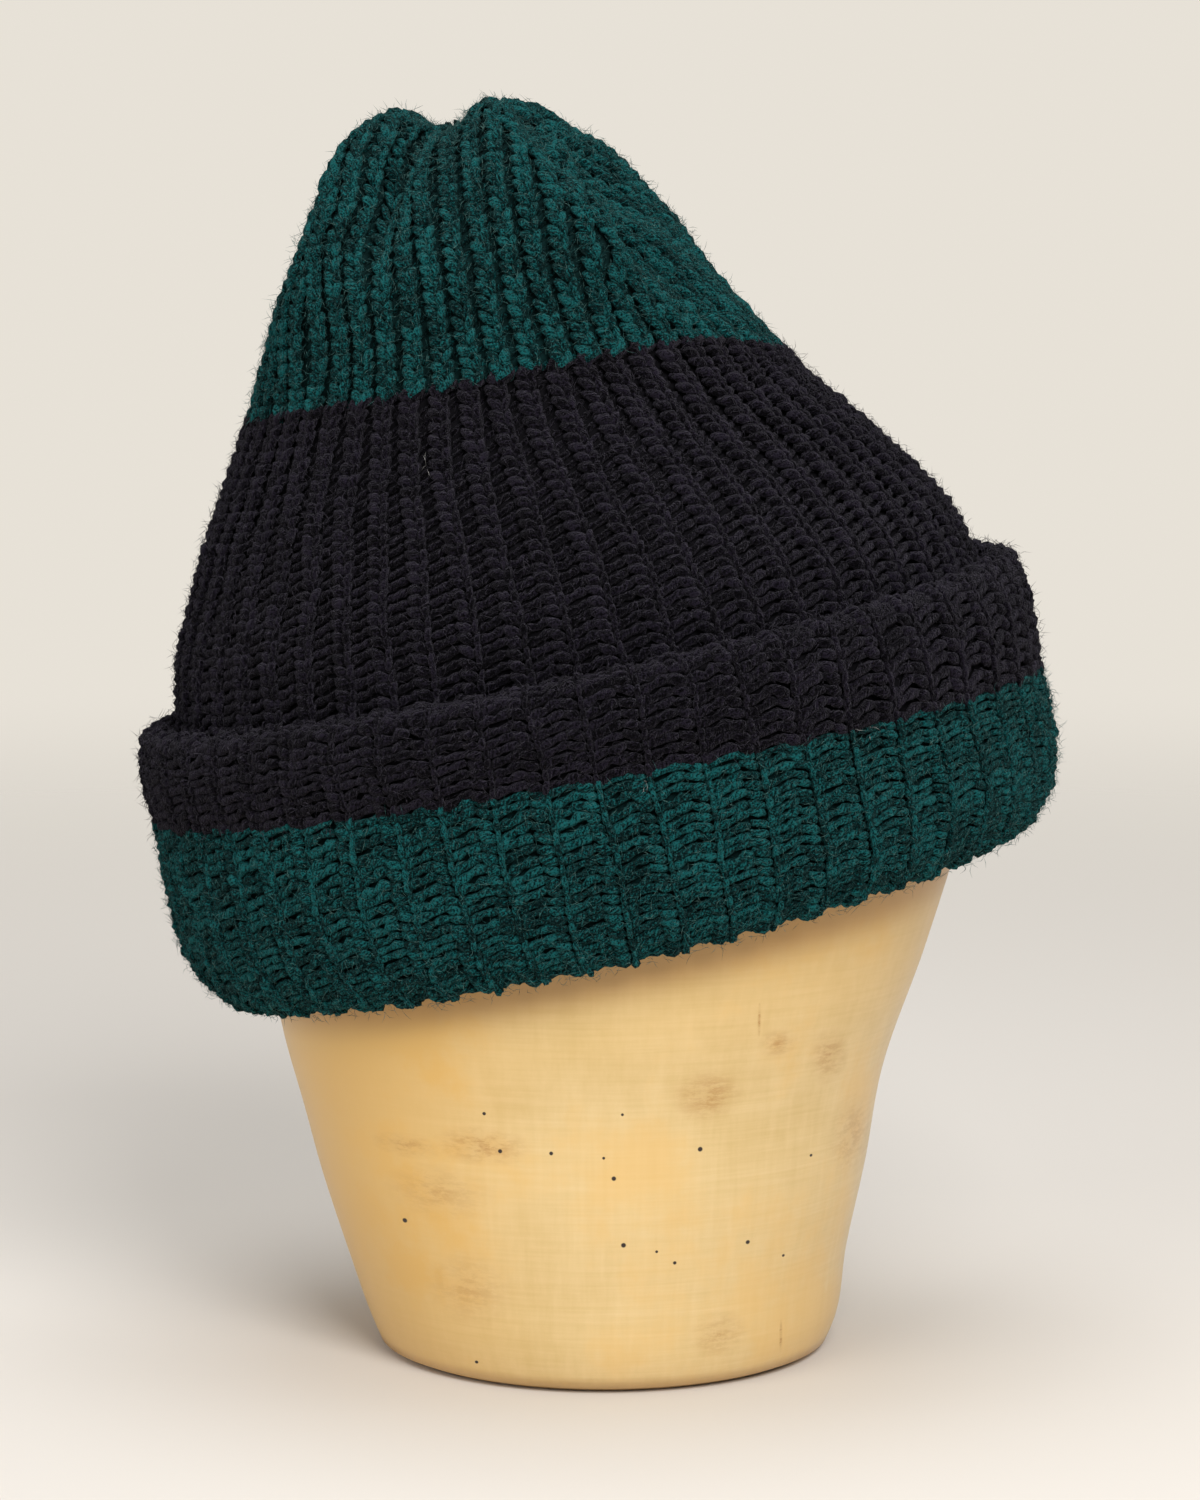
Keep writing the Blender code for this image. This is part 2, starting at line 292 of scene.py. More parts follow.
def crease_depth(angle, rise):
    """How far the crown is pressed in at an angle and a height above the cuff edge."""
    total = np.zeros_like(angle)
    reach = CREASE_REACH * BODY_HALF_WIDTH
    for from_angle, from_rise, to_angle, to_rise, width, depth in CREASES:
        bx = math.radians(to_angle - from_angle) * reach
        az, bz = from_rise * CROWN_RISE, to_rise * CROWN_RISE
        turn = (np.degrees(angle) - from_angle + 180.0) % 360.0 - 180.0
        px = np.radians(turn) * reach
        length = bx**2 + (bz - az) ** 2
        share = np.clip((px * bx + (rise - az) * (bz - az)) / length, 0.0, 1.0)
        off = np.hypot(px - bx * share, rise - az - (bz - az) * share)
        total += depth * BODY_HALF_WIDTH * np.exp(-((off / (width * BODY_HALF_WIDTH)) ** 2))
    return total * np.clip((rise - STRIPE_RISE) / CREASE_FADE, 0.0, 1.0)


def stripe_rise(angle):
    """Height of the crown's colour change, which dips at the right end."""
    return STRIPE_RISE - STRIPE_DIP * np.maximum(0.0, np.cos(angle)) ** 6


def stripe_drop(angle):
    """Drop of the cuff's colour change, which runs a little lower on the right."""
    return CUFF_STRIPE + STRIPE_SKEW * (np.cos(angle) - np.sin(angle) ** 2)


def cap_knots(angle):
    """Sections of the cap's outside from the hem to the pinch, as (rise, width, lean, depth)."""
    one = np.ones_like(angle)
    hem_width = LEG_HALF_WIDTH + BODY_WALL + HEM_ROOM
    knots = [(-HEM_DROP * one, hem_width * one, 0.0 * one, DEPTH_SHARE * one)]
    for rise, width, lean in BODY_ROWS:
        row = (rise * CROWN_RISE, width * BODY_HALF_WIDTH, lean * BODY_HALF_WIDTH, DEPTH_SHARE)
        knots.append(tuple(part * one for part in row))
    weight, size = lobe_weight(angle)
    for number, row in enumerate(CROWN_ROWS):
        lobe_rise, lobe_radius, valley_rise, valley_radius, lean, roundness = row
        radius = valley_radius + (lobe_radius - valley_radius) * size * weight
        rise = (valley_rise + (lobe_rise - valley_rise) * size * weight**2) * CROWN_RISE
        tip_share = max(0.0, roundness - TIP_ROUNDNESS) / (1.0 - TIP_ROUNDNESS)
        slope = TIP_SLOPE * tip_share * radius * np.cos(angle) * weight * BODY_HALF_WIDTH
        width = radius * BODY_HALF_WIDTH - crease_depth(angle, rise)
        if number == 0:
            rise = stripe_rise(angle)
            dip = (STRIPE_RISE - rise) / STRIPE_DIP
            width = lobe_radius * BODY_HALF_WIDTH + DIP_FLARE * dip
        depth = DEPTH_SHARE + (1.0 - DEPTH_SHARE) * roundness
        knots.append((rise - slope, width, lean * BODY_HALF_WIDTH * one, depth * one))
    lean = PINCH_LEAN * BODY_HALF_WIDTH
    knots.append((PINCH_RISE * one, PINCH_HALF_WIDTH * one, lean * one, one))
    return np.array(knots)


def cuff_knots(angle):
    """Sections of the cuff's outside from the inner leg, round the fold, up and over the rim."""
    one = np.ones_like(angle)
    depth = DEPTH_SHARE * one
    shift = CUFF_SHIFT * one
    knots = []
    for number, (drop, width) in reversed(list(enumerate(FOLD_ROWS))):
        fall = drop * CUFF_DROP - HEM_SKEW * drop * np.cos(angle)
        if number == len(FOLD_ROWS) - 1:
            fall = HEM_DROP * one
        half = LEG_HALF_WIDTH + (CUFF_HALF_WIDTH - LEG_HALF_WIDTH) * width
        knots.append((-fall, half * one, shift, depth))
    knots.append((-stripe_drop(angle), CUFF_HALF_WIDTH * one, shift, depth))
    rim = RIM_SKEW * (1.0 - np.cos(angle))
    for drop, width in EDGE_ROWS:
        knots.append((-drop * CUFF_DROP - rim, width * CUFF_HALF_WIDTH * one, shift, depth))
    return np.array(knots)


def ring_points(knots, angle):
    """Points of oval sections, from (rise, width, lean, depth) rows."""
    rise, width, lean, depth = knots.swapaxes(0, 1)
    x = lean + width * np.cos(angle)
    return np.stack((x, width * depth * np.sin(angle), rise), -1)


def unit(ways):
    """Directions brought to length 1."""
    return ways / np.maximum(np.linalg.norm(ways, axis=-1, keepdims=True), 1e-12)


def tangents_of(rows, gaps):
    """Slopes of a smooth curve through rows of points that lie some gaps apart."""
    gaps = gaps[:, None, None]
    slopes = np.diff(rows, axis=0) / gaps
    inner = (slopes[:-1] * gaps[1:] + slopes[1:] * gaps[:-1]) / (gaps[:-1] + gaps[1:])
    return np.concatenate((slopes[:1], inner, slopes[-1:]))


def curve(low, high, low_way, high_way, gap, q):
    """Points at shares q of a gap between two points with their tangents."""
    return (
        (2 * q**3 - 3 * q**2 + 1) * low
        + (q**3 - 2 * q**2 + q) * gap * low_way
        + (3 * q**2 - 2 * q**3) * high
        + (q**3 - q**2) * gap * high_way
    )


class Surface:
    """A smooth skin through sections. Its up coordinate is a mean length in metres."""

    rib_ladder = np.arange(RIB_PARTS * RIBS + 1) / RIB_PARTS

    def __init__(self, knots, crown_from=None):
        self.knots = knots
        around = np.linspace(0.0, math.tau, SECTION_TURNS, endpoint=False)
        rings = ring_points(knots(around), around)
        steps = np.linalg.norm(np.diff(rings, axis=0), axis=2).mean(1)
        self.up = np.concatenate(([0.0], np.cumsum(steps)))
        self.base = np.append(oval_angles(RIB_PARTS * RIBS), math.tau)
        self.crown_low = math.inf if crown_from is None else self.up[crown_from]
        if crown_from is not None:
            self.measure_crown()

    def measure_crown(self):
        """Arc lengths round the crown, panel by panel, at a ladder of levels."""
        fine = np.linspace(0.0, math.tau, CROWN_TURNS)
        edges = np.radians([row[0] % 360.0 for row in LOBES])
        order = np.argsort(edges)
        self.edges = edges[order]
        middles = np.radians([middle % 360.0 for middle in PANEL_MIDDLES])[order]
        top = self.up[-1] - CROWN_TOP_MARGIN
        self.levels = np.linspace(self.crown_low, top, CROWN_LEVELS)
        self.shares = np.linspace(-1.0, 2.0, CROWN_SHARES)
        rows = []
        for level in self.levels:
            ring = self.point(fine, level)
            run = np.concatenate(([0.0], np.cumsum(np.linalg.norm(np.diff(ring, axis=0), axis=1))))
            girth = run[-1]
            wide = np.concatenate((run[:-1] - girth, run, run[1:] + girth)) / girth
            turns = np.concatenate((fine[:-1] - math.tau, fine, fine[1:] + math.tau))
            angles = np.interp(self.shares, wide, turns)
            ends = np.interp(self.edges, fine, run)
            rows.append((girth, angles, np.interp(middles, fine, run), ends))
        self.girth, self.angles, self.middles, self.ends = map(np.array, zip(*rows))
        self.middle_ribs = self.middles[0] / self.girth[0] * RIBS
        self.pitch = np.maximum(self.girth, CLOSEST_SHARE * self.girth[0]) / RIBS

    def panel(self, home):
        """Number of the crown panel that each rib belongs to."""
        turn = np.interp(home % RIBS, self.rib_ladder, self.base)
        return np.searchsorted(self.edges, turn, side="right") % len(self.edges)

    def offset(self, rib, panel):
        """Ribs from the middle of a panel, the short way round."""
        return (rib - self.middle_ribs[panel] + 0.5 * RIBS) % RIBS - 0.5 * RIBS

    def spare(self, home, up):
        """Room left between each rib and the edge of its panel, in metres."""
        panel = self.panel(home)
        row = np.interp(up, self.levels, np.arange(len(self.levels))).round().astype(int)
        place = self.offset(home, panel) * self.pitch[row]
        girth = self.girth[row]
        after = (self.ends[row, panel] - self.middles[row, panel]) % girth
        before = (self.middles[row, panel] - self.ends[row, panel - 1]) % girth
        return np.where(place > 0.0, after - place, before + place)

    def turn(self, rib, up, home=None):
        """Angles of fractional rib numbers, of which home is the rib they belong to."""
        rib, up = np.broadcast_arrays(rib, up)
        laps = np.floor(rib / RIBS)
        plain = np.interp(rib - laps * RIBS, self.rib_ladder, self.base)
        plain = plain + laps * math.tau
        if home is None or not np.any(up > self.crown_low):
            return plain
        home = np.broadcast_to(home, rib.shape)
        panel = self.panel(home)
        row = np.interp(up, self.levels, np.arange(len(self.levels)))
        low = np.minimum(row.astype(int), len(self.levels) - 2)
        mix = row - low
        found = []
        for level in (low, low + 1):
            place = (self.offset(home, panel) + rib - home) * self.pitch[level]
            share = (self.middles[level, panel] + place) / self.girth[level]
            cell = (share + 1.0) / (self.shares[1] - self.shares[0])
            cell = np.clip(cell, 0, CROWN_SHARES - 1.001)
            k = cell.astype(int)
            found.append(
                self.angles[level, k] * (1 - cell + k) + self.angles[level, k + 1] * (cell - k)
            )
        return np.where(up > self.crown_low, found[0] * (1 - mix) + found[1] * mix, plain)

    def at(self, rib, up, home=None):
        """Points at fractional rib numbers."""
        return self.point(self.turn(rib, up, home), up)

    def point(self, angle, up):
        """Points in the cap's own frame at arrays of angles and up coordinates."""
        shape = np.broadcast(angle, up).shape
        a = np.broadcast_to(angle, shape).ravel()
        u = np.clip(np.broadcast_to(up, shape).ravel(), self.up[0], self.up[-1])
        rows = ring_points(self.knots(a), a)
        k = np.clip(np.searchsorted(self.up, u, side="right") - 1, 0, len(self.up) - 2)
        gaps = np.diff(self.up)
        tangents = tangents_of(rows, gaps)
        n = np.arange(len(a))
        q = ((u - self.up[k]) / gaps[k])[:, None]
        gap = gaps[k][:, None]
        out = curve(rows[k, n], rows[k + 1, n], tangents[k, n], tangents[k + 1, n], gap, q)
        return out.reshape(*shape, 3)

    def normal(self, angle, up):
        """Outward unit normals at arrays of angles and up coordinates."""
        across = self.point(angle + NORMAL_TURN, up) - self.point(angle - NORMAL_TURN, up)
        above = np.minimum(up + NORMAL_STEP, self.up[-1])
        below = np.maximum(up - NORMAL_STEP, self.up[0])
        along = self.point(angle, above) - self.point(angle, below)
        return unit(np.cross(across, along))


cap = Surface(cap_knots, len(BODY_ROWS) + 1)
cuff = Surface(cuff_knots)
CAP_STRIPE = cap.up[len(BODY_ROWS) + 1]
CUFF_EDGE = cap.up[1]
FOLD_END = cuff.up[len(FOLD_ROWS)]


# ---- meshes ----


def mesh_piece(name, points, faces, finish, node=None, attribute=None):
    """Object from arrays of points and faces, riding on the one body.

    A finish is a look and the name of a slot, which is not used.
    """
    look, slot = finish
    mesh = bpy.data.meshes.new(name)
    faces = np.asarray(faces)
    count, sides = faces.shape
    mesh.vertices.add(len(points))
    mesh.vertices.foreach_set("co", np.asarray(points, dtype=np.float32).ravel())
    mesh.loops.add(count * sides)
    mesh.loops.foreach_set("vertex_index", faces.astype(np.int32).ravel())
    mesh.polygons.add(count)
    mesh.polygons.foreach_set("loop_start", np.arange(count, dtype=np.int32) * sides)
    mesh.polygons.foreach_set("use_smooth", np.full(count, True))
    mesh.update(calc_edges=True)
    mesh.validate()
    if attribute is not None:
        layer = mesh.attributes.new("yarn", "FLOAT_VECTOR", "POINT")
        layer.data.foreach_set("vector", np.asarray(attribute, dtype=np.float32).ravel())
    mesh.materials.append(look)
    piece = bpy.data.objects.new(name, mesh)
    scene.collection.objects.link(piece)
    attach(piece, "root")
    if node:
        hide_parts(node)


def tube_faces(tubes, rings, sides):
    """Triangles of many closed tubes, each with the given rings and sides and two end points."""
    each = rings * sides + 2
    faces = []
    for r in range(rings - 1):
        for k in range(sides):
            j = (k + 1) % sides
            a, b = r * sides + k, r * sides + j
            c, d = a + sides, b + sides
            faces.append((a, b, d))
            faces.append((a, d, c))
    first, last = rings * sides, rings * sides + 1
    top = (rings - 1) * sides
    for k in range(sides):
        j = (k + 1) % sides
        faces.append((j, k, first))
        faces.append((top + k, top + j, last))
    faces = np.array(faces)
    return (faces[None] + (np.arange(tubes) * each)[:, None, None]).reshape(-1, 3)


def tubes(lines, radii, outward, sides, flat):
    """(points, attribute) of closed tubes round centre lines of shape (tubes, rings, 3).

    The attribute holds the length along the yarn in millimetres, the share of the way round it,
    and one random number for each tube.
    """
    count, rings = lines.shape[:2]
    way = np.empty_like(lines)
    way[:, 1:-1] = lines[:, 2:] - lines[:, :-2]
    way[:, 0] = lines[:, 1] - lines[:, 0]
    way[:, -1] = lines[:, -1] - lines[:, -2]
    way = unit(way)
    side = unit(np.cross(way, outward))
    out = np.cross(side, way)
    turn = math.pi + math.tau * np.arange(sides)[:, None] / sides
    lumps = 1.0 + rng.normal(0.0, YARN_LUMPS, (count, rings, sides, 1))
    spoke = flat * np.cos(turn) * out[:, :, None] + np.sin(turn) * side[:, :, None]
    ring = lines[:, :, None] + radii[:, :, None, None] * lumps * spoke
    first = lines[:, 0] - way[:, 0] * radii[:, :1] * TIP_SHARE
    last = lines[:, -1] + way[:, -1] * radii[:, -1:] * TIP_SHARE
    tips = np.stack((first, last), 1)
    points = np.concatenate((ring.reshape(count, rings * sides, 3), tips), 1)
    steps = np.linalg.norm(np.diff(lines, axis=1), axis=2)
    along = np.concatenate((np.zeros((count, 1)), np.cumsum(steps, 1)), 1) * 1000.0
    chance = rng.random(count)
    data = np.empty((count, rings * sides + 2, 3))
    data[:, : rings * sides, 0] = np.repeat(along, sides, 1)
    data[:, : rings * sides, 1] = np.tile(np.arange(sides) / sides, rings)[None]
    data[:, -2, 0], data[:, -1, 0] = 0.0, along[:, -1]
    data[:, -2:, 1] = 0.5
    data[:, :, 2] = chance[:, None]
    return points.reshape(-1, 3), data.reshape(-1, 3)


def drift(rib, up):
    """Slow sideways drift of the ribs, in ribs."""
    return sum(size * np.sin(rib * by_rib + up * by_up) for size, by_rib, by_up in DRIFT)


class Knitting:
    """The runs of yarn of every stitch on some rows of a surface."""

    def __init__(self, surface, rows, part):
        self.surface = surface
        found = []
        for up, above in zip(rows[:-1], rows[1:]):
            middle = 0.5 * (up + above)
            rib = np.arange(RIBS, dtype=float)
            if middle > surface.crown_low:
                rib = rib[surface.spare(rib, np.full(RIBS, middle)) > -PANEL_OVERLAP]
            pitch = surface.at(rib + 0.5, middle, rib) - surface.at(rib - 0.5, middle, rib)
            height = surface.at(rib, above, rib) - surface.at(rib, up, rib)
            tall, period = np.linalg.norm(height, axis=1), np.linalg.norm(pitch, axis=1)
            found.append((rib, np.full(len(rib), middle), tall, period))
        found = np.concatenate(found, 1)
        if part is not None:
            found = found[:, part(surface.turn(found[0], found[1]))]
        self.rib, self.middle, tall, period = found
        self.count = len(self.rib)
        self.period = period[:, None]
        self.row = np.clip(tall, LEAST_ROW, MOST_ROW)[:, None]
        # size of the yarn, and 0 between close ribs to 1 between wide ones
        self.size = np.minimum(1.0, period / CLOSE_PERIOD)[:, None]
        wide = (period - CLOSE_PERIOD) / (WIDE_PERIOD - CLOSE_PERIOD)
        self.wide = np.clip(wide, 0.0, 1.0)[:, None]
        self.loose = self.mix(LOOSENESS)
        # shares along a run, its thickness, which falls towards both ends, and its bow
        self.q = np.linspace(0.0, 1.0, RINGS)
        self.swell = END_THICKNESS + SWELL * np.sin(math.pi * self.q) ** SWELL_SHARPNESS
        self.bow = 4.0 * self.q * (1.0 - self.q)
        self.points, self.data, self.faces, self.start = [], [], [], 0

    def mix(self, pair):
        """A value for each stitch from the one between close ribs and the one between wide."""
        return pair[0] + (pair[1] - pair[0]) * self.wide

    def jitter(self, size):
        """A random number for each stitch."""
        return rng.normal(0.0, 1.0, self.count)[:, None] * size

    def slack(self, size):
        """A random number for each stitch, larger between wide ribs."""
        return self.jitter(size) * self.loose

    def waist(self, shares):
        """Thickness along a run, which takes some shares between wide ribs."""
        return (1.0 - self.wide) * self.swell + self.wide * shares

    def lay(self, x, z, depth, radius, sides, flat=1.0, painted_shade=0.0):
        """Adds a run for each stitch: x along the row, z up, depth out of the surface."""
        each = np.maximum(self.period, LEAST_PERIOD)
        place = (self.rib + drift(self.rib, self.middle))[:, None] + x / each
        up = self.middle[:, None] + z
        angle = self.surface.turn(place, up, self.rib[:, None])
        out = self.surface.normal(angle, up)
        line = self.surface.point(angle, up) + out * depth[..., None]
        points, data = tubes(seat(line), radius, seat_way(out), sides, flat)
        # painted shade: a darker tone for the runs, taken off their random number
        data[:, 2] -= np.repeat(painted_shade + np.zeros(self.count), len(points) // self.count)
        self.points.append(points)
        self.data.append(data)
        self.faces.append(tube_faces(self.count, line.shape[1], sides) + self.start)
        self.start += len(points)

    def left_leg(self):
        """A slanted run that falls towards the upright leg."""
        across, up, tilt, deep, thickness = SLACK["left"]
        q, size, row = self.q, self.size, self.row
        x = LEFT_END * size - self.mix(LEFT_REACH) * size * (1.0 - q) + self.slack(across)
        z = row * (self.mix(LEFT_TOP) - self.mix(LEFT_FALL) * q + LEFT_BOW * self.bow)
        z = z + self.slack(up)
        z = z + self.slack(tilt) * (1.0 - 2.0 * q)
        radius = np.minimum(self.mix(LEFT_RADIUS) * size, LEFT_MOST * row)
        radius = radius * (1.0 + self.jitter(thickness)) * self.waist(LEG_WAIST)
        depth = (LEFT_DEPTH + LEG_ARCH * self.bow) * size + self.slack(deep)
        self.lay(x, z, depth, radius, LEFT_SIDES, LEFT_FLATNESS)

    def right_leg(self):
        """A nearly upright run."""
        across, up, tilt, deep, thickness = SLACK["right"]
        q, size = self.q, self.size
        x = (self.mix(RIGHT_START) + self.mix(RIGHT_LEAN) * q) * size + self.slack(across)
        x = x + self.jitter(tilt) * (1.0 - 2.0 * q)
        z = self.row * RIGHT_HALF_RISE * (2.0 * q - 1.0) + self.slack(up)
        radius = self.mix(RIGHT_RADIUS) * size * (1.0 + self.jitter(thickness)) * self.swell
        depth = (self.mix(RIGHT_DEPTH) + LEG_ARCH * self.bow) * size
        depth = depth + self.jitter(deep + RIGHT_WIDE_SLACK * self.wide)
        self.lay(x, z, depth, radius, RIGHT_SIDES)

    def bar(self):
        """An arch from the upright leg to the next left leg, deep between close ribs, where its
        tone is painted darker as shade.

        Between wide ribs it sags and thins in the middle, so that it reads as two lumps.
        """
        across, up, tilt, deep, thickness = SLACK["bar"]
        q, size, row, wide = self.q, self.size, self.row, self.wide
        first = self.mix(BAR_START) * size + self.slack(across)
        last = self.period - self.mix(BAR_END) * size + self.slack(across)
        x = first + (last - first) * q
        z = row * (BAR_LOW + BAR_CLIMB * q + self.mix(BAR_BOW) * self.bow) + self.slack(up)
        z = z + self.slack(tilt) * (1.0 - 2.0 * q) - BAR_DENT_FALL * row * wide * BAR_DENT
        kinks = rng.normal(0.0, BAR_KINKS, (2, self.count, RINGS)) * wide
        z = z + kinks[0]
        radius = np.minimum(self.mix(BAR_RADIUS), self.mix(BAR_MOST) * row)
        radius = radius * (1.0 + self.jitter(thickness)) * self.waist(BAR_WAIST) * size
        depth = (self.mix(BAR_DEPTH) + BAR_ARCH * self.bow) * size + self.slack(deep)
        depth = depth - BAR_DENT_DEPTH * wide * BAR_DENT + kinks[1]
        self.lay(x, z, depth, radius, BAR_SIDES, BAR_FLATNESS, BAR_PAINTED_SHADE * (1.0 - wide[:, 0]))


def stitch_piece(name, surface, rows, finish, part=None):
    """One piece holding every stitch on some rows of a surface."""
    knitting = Knitting(surface, rows, part)
    knitting.left_leg()
    knitting.right_leg()
    knitting.bar()
    points, faces = np.concatenate(knitting.points), np.concatenate(knitting.faces)
    data = np.concatenate(knitting.data)
    mesh_piece(name, points, faces, finish, attribute=data)


def seat_way(ways):
    """Turns directions from the cap's own frame."""
    x, y, z = np.moveaxis(ways, -1, 0)
    c, s = math.cos(SLANT), math.sin(SLANT)
    return np.stack((c * x - s * z, y, s * x + c * z), -1)


def wall_piece(name, surface, low, high, wall, finish, node):
    """The cloth under the stitches: a closed shell between two heights."""
    columns = 2 * RIBS
    steps = max(6, int((high - low) / WALL_ROW))
    rib, up = np.meshgrid(np.arange(columns) / 2.0, np.linspace(low, high, steps))
    angle = surface.turn(rib, up)
    skin = surface.point(angle, up)
    out = surface.normal(angle, up)
    outer = seat(skin - out * WALL_SINK)
    inner = seat(skin - out * wall)
    points = np.concatenate((outer.reshape(-1, 3), inner.reshape(-1, 3)))
    faces = []
    k = np.arange(columns)
    j = (k + 1) % columns
    shift = steps * columns
    for r in range(steps - 1):
        a, b = r * columns + k, r * columns + j
        c, d = a + columns, b + columns
        faces.append(np.stack((a, b, d, c), 1))
        faces.append(np.stack((a, c, d, b), 1) + shift)
    top = (steps - 1) * columns
    faces.append(np.stack((k, k + shift, j + shift, j), 1))
    faces.append(np.stack((top + k, top + j, top + j + shift, top + k + shift), 1))
    mesh_piece(name, points, np.concatenate(faces), finish, node)


def fuzz_piece(name, surface, low, high, count, finish):
    """Loose fibres all over a run of the cloth."""
    up = rng.uniform(low, high, count)
    rib = rng.uniform(0.0, RIBS, count)
    fibres_piece(name, surface, surface.turn(rib, up), up, finish)


def fibres_piece(name, surface, angle, up, finish):
    """Thin closed threads with a bend, which start in the yarn and lie over it or stand off it."""
    count = len(up)
    start = surface.point(angle, up)
    out = surface.normal(angle, up)
    lean = rng.normal(0.0, 1.0, (count, 3))
    lean = unit(lean - out * np.sum(lean * out, 1, keepdims=True))
    length = rng.uniform(*HAIR_LENGTHS, count)[:, None]
    lift = rng.beta(*HAIR_LIFT, count)[:, None]
    curl = rng.normal(0.0, HAIR_CURL, (count, 3))
    way = lean * np.sqrt(1.0 - lift**2) + out * lift
    root = start - out * HAIR_SINK
    first, tip = seat(root), seat(root + way * length)
    middle = 0.5 * (first + tip) + seat_way(curl) * length * HAIR_BEND
    turn = math.tau * np.arange(HAIR_SIDES)[:, None] / HAIR_SIDES
    side = unit(np.cross(seat_way(way), SKEW_WAY))
    over = np.cross(side, seat_way(way))
    ring = HAIR_RADIUS * (np.cos(turn) * side[:, None] + np.sin(turn) * over[:, None])
    points = np.concatenate((first[:, None], middle[:, None] + ring, tip[:, None]), 1)
    each = HAIR_SIDES + 2
    faces = []
    for k in range(HAIR_SIDES):
        j = (k + 1) % HAIR_SIDES
        faces += [(0, 1 + j, 1 + k), (each - 1, 1 + k, 1 + j)]
    faces = np.array(faces)[None] + (np.arange(count) * each)[:, None, None]
    data = np.stack((np.zeros(count), np.full(count, 0.5), rng.random(count)), 1)
    points, faces = points.reshape(-1, 3), faces.reshape(-1, 3)
    mesh_piece(name, points, faces, finish, attribute=np.repeat(data, each, 0))


# ---- materials ----

WOOD_TONES = (
    (0.38, (0.60, 0.420, 0.170)),
    (0.50, (0.670, 0.482, 0.220)),
    (0.62, (0.73, 0.545, 0.275)),
)
# orange of gathered varnish, also used as painted shade on the left and under the cap
VARNISH_AND_SHADE_COLOUR = (0.68, 0.410, 0.115)
# brown of the painted shadow below the cap's hem
HEM_SHADOW_COLOUR = (0.44, 0.21, 0.05)
HOLE_COLOUR = (0.014, 0.004, 0.001)
HEM_LEVEL = math.sin(SLANT) * -SEAT_SHIFT + math.cos(SLANT) * SEAT_RISE - CUFF_DROP
STAIN_COLOUR = (0.38, 0.175, 0.035)
STAINS = (
    # x, z, half width, half height, strength
    (0.0265, 0.0770, 0.0095, 0.0075, 0.80),
    (0.0570, 0.0835, 0.0055, 0.0085, 0.75),
    (0.0440, 0.0890, 0.0055, 0.0045, 0.65),
    (-0.0290, 0.0640, 0.0130, 0.0055, 0.80),
    (-0.0480, 0.0620, 0.0100, 0.0035, 0.60),
    (0.0295, 0.0145, 0.0080, 0.0070, 0.60),
    (-0.0325, 0.0262, 0.0120, 0.0110, 0.45),
    (-0.0400, 0.0510, 0.0150, 0.0080, 0.45),
    (0.0640, 0.0600, 0.0070, 0.0130, 0.55),
    (0.0391, 0.0960, 0.0005, 0.0050, 1.40),
    (0.0456, 0.0107, 0.0005, 0.0050, 1.20),
)
WORMHOLES = (
    # x, z, radius
    (-0.0285, 0.0725, 0.00055),
    (-0.0246, 0.0630, 0.00065),
    (-0.0120, 0.0630, 0.00060),
    (0.0009, 0.0619, 0.00045),
    (0.0055, 0.0730, 0.00045),
    (0.0034, 0.0567, 0.00070),
    (0.0247, 0.0632, 0.00075),
    (-0.0488, 0.0420, 0.00075),
    (0.0058, 0.0396, 0.00075),
    (0.0140, 0.0376, 0.00045),
    (0.0185, 0.0344, 0.00055),
    (0.0368, 0.0378, 0.00065),
    (0.0460, 0.0324, 0.00045),
    (-0.0309, 0.0065, 0.00055),
    (0.0529, 0.0576, 0.00045),
)


